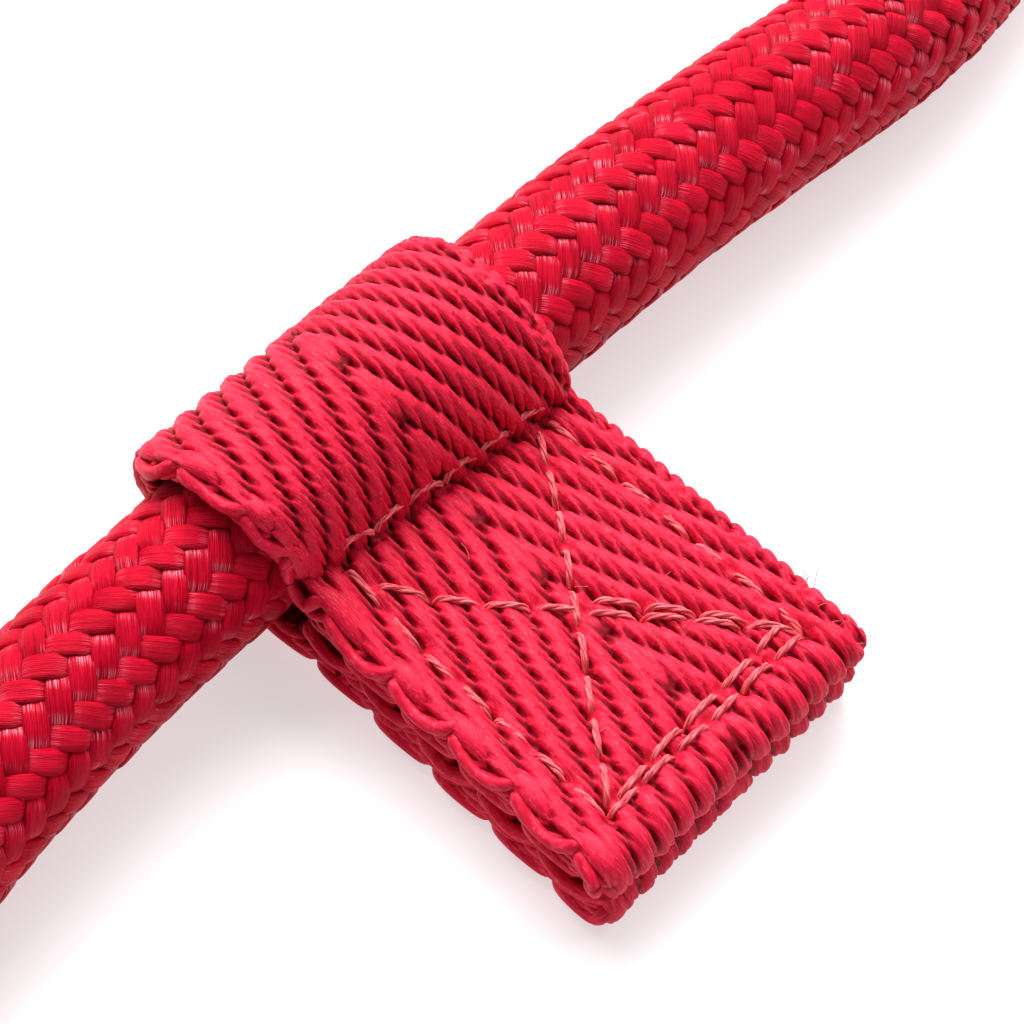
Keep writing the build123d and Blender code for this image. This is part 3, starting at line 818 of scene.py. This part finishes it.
loop_path = np.array(
    [
        (5.2, -11.5, 0.05),
        (4.7, -12.0, 0.25),
        (3.6, -12.35, 0.15),
        (2.2, -12.50, 0.05),
        (1.0, -12.35, 0.20),
        (0.2, -12.0, 0.50),
        (-0.3, -11.45, 0.60),
        (-0.4, -10.9, 0.25),
    ]
)
strand_path = np.array([(0, -11.6, 0.1), (0.9, -12.1, -0.15), (2.6, -12.2, -0.55), (4.2, -11.6, -0.85)])
loop_starts = np.arange(-1.5, strip_length - 5.5, rib_repeat)[1:]
strand_starts = np.arange(0.4, strip_length - 4.6, pick)
for edge_name, starts, path, radii, samples in (
    ("loops", loop_starts, loop_path, np.array([0.40, 0.56, 0.44, 0.42, 0.45, 0.48, 0.48, 0.3]), 30),
    ("strands", strand_starts, strand_path, np.array([0.25, 0.36, 0.36, 0.25]), 14),
):
    points, faces, plan, tone, lift = edge_yarns(starts, path, radii, samples, 8, tab_shuffle)
    edges.append(add_piece(f"tab_edge_{edge_name}", points, faces, webbing, "tab", plan, tone, lift))
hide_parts("keeper_tab")

# Sewing thread: coral polyester, three plies twisted together, sewn by machine. Each stitch rises out
# of one needle hole and dives into the next. A ply's turn, its way off the middle and its radius:
ply_turn, ply_offset, ply_radius = 3.2, 0.11, 0.135


def sewn_thread(surface, marks, stand, shuffle, samples=26, sides=6):
    """Points of the plies of each stitch between marks, given as places across and along a surface.

    A stitch is level less the fifth power of its place from its middle, so that both ends dive. Its
    plies wind about its line as screws, a third of a turn apart.
    """
    starts, ends = marks[:-1, None, :], marks[1:, None, :]
    count = len(marks) - 1
    place = np.linspace(0.05, 0.95, samples)[None, :, None]
    wander = shuffle.uniform(-0.10, 0.10, (count, 1, 2)) * np.sin(np.pi * place)
    route = starts + (ends - starts) * place + wander
    height = 0.97 + stand - (1.25 - 0.45 * max(stand, 0)) * np.abs(2 * place[..., 0] - 1) ** 5
    middles = surface(route[..., 0], route[..., 1], height)
    above = surface(route[..., 0], route[..., 1], height + 0.3) - middles
    onward = np.gradient(middles, axis=1)
    onward = onward / np.linalg.norm(onward, axis=-1, keepdims=True)
    aside = np.cross(onward, above)
    aside = aside / np.linalg.norm(aside, axis=-1, keepdims=True)
    upward = np.cross(aside, onward)
    far = np.linalg.norm(ends - starts, axis=-1, keepdims=True) * place
    ply = np.arange(3)[None, None, :]
    twist = 2 * np.pi * (far / ply_turn + ply / 3) + shuffle.uniform(0, 6, (count, 1, 1))
    ply_middle = middles[:, :, None] + ply_offset * (
        aside[:, :, None] * np.cos(twist)[..., None] + upward[:, :, None] * np.sin(twist)[..., None]
    )
    ply_middle = np.moveaxis(ply_middle, 2, 1)
    turn = 2 * np.pi * np.arange(sides) / sides
    round_by = aside[:, None, :, None] * np.cos(turn)[:, None]
    round_by = round_by + upward[:, None, :, None] * np.sin(turn)[:, None]
    points = ply_middle[:, :, :, None] + ply_radius * round_by
    shape = points.shape[:4]
    run = np.broadcast_to(far[:, None], (count, 3, samples, 1)) + 0 * points[..., 0]
    across = np.broadcast_to(ply_radius * turn, shape)
    tone = np.broadcast_to(shuffle.uniform(0, 1, (count, 3, 1, 1)), shape)
    plan = np.stack([run, across], axis=-1).reshape(-1, 2)
    return points.reshape(-1, 3), 3 * count, plan, tone.reshape(-1)


thread, thread_shader, thread_field = surface_material("sewing_thread", 0.5, Specular_IOR_Level=0.12)
thread_plan = thread_field.node("ShaderNodeUVMap", uv_map="UVMap")
thread_along = thread_plan.node("ShaderNodeSeparateXYZ", {"Vector": thread_plan})
thread_across = thread_plan.node("ShaderNodeSeparateXYZ", {"Vector": thread_plan}, output=1)
thread_tone = thread_field.node("ShaderNodeAttribute", output="Fac", attribute_name="tone")
thread_place = thread_field.node(
    "ShaderNodeCombineXYZ", {"X": thread_along * 1.1, "Y": thread_across * 9.0, "Z": thread_tone * 60.0}
)
thread_streak = thread_place.node(
    "ShaderNodeTexNoise", {"Vector": thread_place, "Scale": 1.4, "Detail": 3.0}
)
thread_bump = thread_streak.node(
    "ShaderNodeBump", {"Height": thread_streak, "Strength": 0.8, "Distance": 0.00008}
)
wire_up(
    thread_shader,
    Base_Color=thread_streak.rise(0.36, 0.62).blend((0.50, 0.026, 0.045, 1), (0.88, 0.175, 0.20, 1)),
    Normal=thread_bump,
)

thread_shuffle = np.random.default_rng(21)
thread_parts = []
for seam in seams:
    ends = stitch_ends(seam)
    ends = ends + thread_shuffle.uniform(-0.12, 0.12, ends.shape)
    marks = np.stack([ends[:, 0], top_place(ends[:, 1])], axis=-1)
    thread_parts.append(sewn_thread(tab_surface, marks, seam[2], thread_shuffle))
tab_thread = add_piece(
    "tab_box_and_cross",
    np.concatenate([part[0] for part in thread_parts]),
    tube_faces(sum(part[1] for part in thread_parts), 26, 6),
    thread,
    "tab",
    np.concatenate([part[2] for part in thread_parts]),
    np.concatenate([part[3] for part in thread_parts]),
)

# Loose fibres: broken filaments of the yarn, thinner than 0.1 mm. Eight stand out of the tab's free
# corner and the rest lie on its top. Each bends aside as the square of its place along it.
hair_shuffle = np.random.default_rng(31)
hair_count, corner_hairs, hair_rings, hair_radius = 22, 8, 14, 0.03
hair_edge = np.where(np.arange(hair_count) < corner_hairs, 1, 0)
hair_across = np.where(
    hair_edge,
    hair_shuffle.uniform(10.8, 11.9, hair_count),
    hair_shuffle.uniform(-11, 9, hair_count),
)
hair_along = np.where(
    hair_edge,
    top_place(hair_shuffle.uniform(-34.4, -29.0, hair_count)),
    hair_shuffle.uniform(31, 52, hair_count),
)
hair_roots = tab_surface(hair_across, hair_along, np.full(hair_count, 0.75))
hair_tips = tab_surface(hair_across, hair_along, np.full(hair_count, 1.75))
hair_way = (hair_tips - hair_roots) * np.where(hair_edge, 0.4, 0.15)[:, None]
hair_way = hair_way + hair_shuffle.normal(0, 0.45, (hair_count, 3))
hair_way = hair_way + hair_edge[:, None] * np.array([0.8, -0.2, 0.0])
hair_bend = hair_shuffle.normal(0, 0.45, (hair_count, 3))
hair_length = np.where(
    hair_edge,
    hair_shuffle.uniform(0.5, 1.2, hair_count),
    hair_shuffle.uniform(0.6, 1.6, hair_count),
)
hair_place = np.linspace(0, 1, hair_rings)[None, :, None]
hair_middles = hair_roots[:, None] + hair_length[:, None, None] * (
    hair_way[:, None] * hair_place + hair_bend[:, None] * hair_place**2
)
hair_points = tube_along(hair_middles, np.full((hair_count, hair_rings), hair_radius), 5)
hair_plan = np.zeros((hair_points.size // 3, 2))
hair_tone = hair_shuffle.uniform(0, 1, hair_points.size // 3)
tab_hairs = add_piece(
    "tab_loose_fibres",
    hair_points.reshape(-1, 3),
    tube_faces(hair_count, hair_rings, 5),
    thread,
    "tab",
    hair_plan,
    hair_tone,
)
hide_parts("tab_top_stitching")

# Chapes: short strips of the same webbing. Each goes through a ring or the snap's eye, and its two
# ends are sewn together around a rope's end, with a flat fin on either side of it. Seen from above,
# a chape is as wide over the rope as its strip is flat, so its cloth there is a fifth wider than that.
# Each has its ring, its heading from that ring's middle on the right side, and its side.
chapes = {
    "left_chin_chape": (side_ring, -104.8, -1),
    "right_chin_chape": (side_ring, -104.8, 1),
    "left_nose_chape": (side_ring, 152, -1),
    "right_nose_chape": (side_ring, 152, 1),
    "left_cheek_lower_chape": (side_ring, 84, -1),
    "right_cheek_lower_chape": (side_ring, 84, 1),
    "left_cheek_upper_chape": (upper_ring, -87, -1),
    "right_cheek_upper_chape": (upper_ring, -87, 1),
    "left_crown_chape": (upper_ring, 100, -1),
    "right_crown_chape": (upper_ring, 100, 1),
    "right_throat_chape": (upper_ring, 210, 1),
    "snap_chape": (upper_ring, 197, -1),
}
ring_reach, ring_wire, snap_reach, eye_wire, sleeve_length = 24.0, 6.0, 97.1, 5.0, 26.0
rope_level, ring_level = rope_height * 1000, ring_height * 1000

# Half of a sleeve's section: over the rope, down its side and out along the flat fin.
sleeve_turn = np.linspace(np.pi / 2, 0.30, 24)
sleeve_side = np.stack([7.25 * np.cos(sleeve_turn), 7.25 * np.sin(sleeve_turn)], axis=-1)
sleeve_side = np.concatenate([sleeve_side, [(7.25, 1.45), (7.9, 1.05), (12.5, 1.0)]])
sleeve_far = np.concatenate([[0], np.cumsum(np.linalg.norm(np.diff(sleeve_side, axis=0), axis=1))])


def chape_surface(ring, degrees, side, bar, wire, hoop, reach):
    """A surface function for a chape: along it, 0 is inside the loop, above is positive, below negative.

    The strip goes round the bar in a half circle, and closes to 1 mm from its middle plane as a raised
    cosine. From the neck to the rope's end its section turns from flat into the sleeve's by a smooth
    step. On a ring, the loop is bent round the ring's own curve too.
    """
    loop = wire / 2 + 0.3 + 0.95
    quarter = np.pi - np.linspace(0, np.pi / 2, 20)
    drop = np.linspace(0, 1, 24)[1:]
    mouth = reach + sleeve_length
    x = np.concatenate([bar + loop * np.cos(quarter), bar + (loop + 3) * drop, [mouth, mouth + 9]])
    closing = 0.5 + 0.5 * np.cos(np.pi * drop)
    half = np.concatenate([loop * np.sin(quarter), 1 + (loop - 1) * closing, [1, 1]])
    far = np.concatenate([[0], np.cumsum(np.hypot(np.diff(x), np.diff(half)))])
    turn = math.radians(degrees if side > 0 else 180 - degrees)
    neck = bar + loop + 1

    def middle(across, along):
        """Points of the strip's middle surface."""
        place = np.interp(np.abs(along), far, x)
        high = np.interp(np.abs(along), far, half)
        share = np.clip((place - neck) / (reach - neck), 0, 1)
        share = share * share * (3 - 2 * share)
        run = np.abs(across) / 12.5 * sleeve_far[-1]
        out = np.interp(run, sleeve_far, sleeve_side[:, 0]) * np.sign(across)
        rise = np.interp(run, sleeve_far, sleeve_side[:, 1])
        lateral = (1 - share) * across + share * out
        high = (1 - share) * high + share * rise
        level = ring_level + (rope_level - ring_level) * share
        if hoop:
            bent = np.clip((neck + 2 - place) / (loop + 2), 0, 1)
            bent = bent * bent * (3 - 2 * bent)
            swing = lateral / bar
            place, lateral = (
                place + bent * place * (np.cos(swing) - 1),
                (1 - bent) * lateral + bent * place * np.sin(swing),
            )
        z = level + np.where(along < 0, -1, 1) * high
        east = place * math.cos(turn) - lateral * math.sin(turn) + side * ring[0] * 1000
        north = place * math.sin(turn) + lateral * math.cos(turn) + ring[1] * 1000
        return np.stack(np.broadcast_arrays(east, north, z), axis=-1)

    def surface(across, along, height):
        """Points of the strip at heights above its middle surface, square to both of its slopes."""
        step = 0.1
        over = middle(across, along + step) - middle(across, along - step)
        out = middle(across + step, along) - middle(across - step, along)
        up = np.cross(over, out)
        up = up / np.linalg.norm(up, axis=-1, keepdims=True)
        return middle(across + 0 * along, along + 0 * across) + up * np.asarray(height)[..., None]

    return surface, far[-2]


chape_threads = []
for chape_number, (chape_name, (ring, degrees, side)) in enumerate(chapes.items()):
    on_snap = chape_name == "snap_chape"
    bar, wire = (snap_reach, eye_wire) if on_snap else (ring_reach, ring_wire)
    rope_end = (throat_reach if on_snap else chape_reach) * 1000
    surface, length = chape_surface(ring, degrees, side, bar, wire, not on_snap, rope_end)
    shuffle = np.random.default_rng(300 + chape_number)
    points, faces = ground(surface, -length, length, 0.9, 18)
    cloth = add_piece(f"{chape_name}_strip", points, faces, backing, "halter")
    points, faces, plan, tone, lift = woven_face(surface, 0.2 - length, length - 0.2, 0.42, 56, shuffle)
    parts = [add_piece(f"{chape_name}_floats", points, faces, webbing, "halter", plan, tone, lift)]
    for edge_side, edge_name in ((-1, "left"), (1, "right")):
        points, faces, plan, tone, lift = selvedge(
            surface, edge_side, 1.0 - length, length - 1.0, 5, 6, shuffle
        )
        piece_name = f"{chape_name}_{edge_name}_selvedge"
        parts.append(add_piece(piece_name, points, faces, webbing, "halter", plan, tone, lift))
    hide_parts(chape_name)
    for face in (-1, 1):
        rows = [
            [(-10.6, length - sleeve_length + 2), (-10.6, length - 2)],
            [(10.6, length - sleeve_length + 2), (10.6, length - 2)],
            [(-9.5, 14.0), (9.5, 14.0)],
        ]
        for (x0, s0), (x1, s1) in rows:
            count = round(math.hypot(x1 - x0, s1 - s0) / 3.2)
            share = np.linspace(0, 1, count + 1)
            marks = np.stack([x0 + (x1 - x0) * share, face * (s0 + (s1 - s0) * share)], axis=-1)
            chape_threads.append(sewn_thread(surface, marks, 0.1, shuffle, 10, 5))
chape_thread = add_piece(
    "chape_sewing",
    np.concatenate([part[0] for part in chape_threads]),
    tube_faces(sum(part[1] for part in chape_threads), 10, 5),
    thread,
    "halter",
    np.concatenate([part[2] for part in chape_threads]),
    np.concatenate([part[3] for part in chape_threads]),
)
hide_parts("chape_stitching")


# Metal: rings and a swivel eye bent from steel wire and plated, a cast snap with a duller skin, and a
# bare steel spring. All of it has a cloudy shine and fine wear.
def metal_material(name, colour, dull, roughness, grain):
    """Bright metal with cloudy roughness and fine scratches."""
    made, shader, field = surface_material(name, roughness, Metallic=1.0)
    place = field.node("ShaderNodeTexCoord", output="Object")
    cloud = place.node("ShaderNodeTexNoise", {"Vector": place, "Scale": 140.0, "Detail": 4.0})
    fine = place.node("ShaderNodeTexNoise", {"Vector": place, "Scale": 1900.0, "Detail": 2.0})
    bump = fine.node("ShaderNodeBump", {"Height": fine, "Strength": grain, "Distance": 0.00005})
    rough = cloud.rise(0.35, 0.75) * 0.14 + roughness
    wire_up(shader, Base_Color=cloud.rise(0.4, 0.7).blend(colour, dull), Roughness=rough, Normal=bump)
    return made


plated = metal_material("plated_steel", (0.38, 0.38, 0.39, 1), (0.28, 0.28, 0.295, 1), 0.20, 0.12)
cast = metal_material("cast_snap", (0.28, 0.28, 0.29, 1), (0.20, 0.20, 0.212, 1), 0.34, 0.35)
sprung = metal_material("spring_steel", (0.36, 0.35, 0.34, 1), (0.26, 0.25, 0.25, 1), 0.28, 0.2)
metal_nodes = {
    "left_side_ring": plated,
    "right_side_ring": plated,
    "left_upper_ring": plated,
    "right_upper_ring": plated,
    "snap_swivel_eye": plated,
    "snap_body": cast,
    "snap_bolt": plated,
}
for node_name, metal in metal_nodes.items():
    nodes[node_name].data.materials.clear()
    nodes[node_name].data.materials.append(metal)

# Spring: six turns of fine steel wire, wound close and slipped into the snap behind its bolt. On a real
# snap they close up as the bolt draws back; this coil keeps one length. It lies on the snap's own line,
# which starts at a ring's middle.
spring_heading, spring_offset, spring_near, spring_far = math.radians(-17), 8.5, 59.91, 70.70
spring_radius, spring_wire = 1.65, 0.3
spring_way = np.array([math.cos(spring_heading), math.sin(spring_heading), 0.0])
spring_aside = np.array([-math.sin(spring_heading), math.cos(spring_heading), 0.0])
spring_ring = np.array([-1000 * upper_ring[0], 1000 * upper_ring[1], ring_level])
spring_foot = spring_ring + spring_offset * spring_aside
coil_turn = np.linspace(0, 12 * np.pi, 145)[:, None, None]
coil_run = np.linspace(spring_near, spring_far, 145)[:, None, None]
wire_turn = (2 * np.pi * np.arange(8) / 8)[None, :, None]
outward = spring_aside * np.cos(coil_turn) + np.array([0.0, 0.0, 1.0]) * np.sin(coil_turn)
coil_points = (
    spring_foot
    + spring_way * (coil_run + spring_wire * np.sin(wire_turn))
    + outward * (spring_radius + spring_wire * np.cos(wire_turn))
)
coil = add_piece("snap_coil", coil_points.reshape(-1, 3), tube_faces(1, 145, 8), sprung, "snap")
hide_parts("snap_spring")
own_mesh(coil)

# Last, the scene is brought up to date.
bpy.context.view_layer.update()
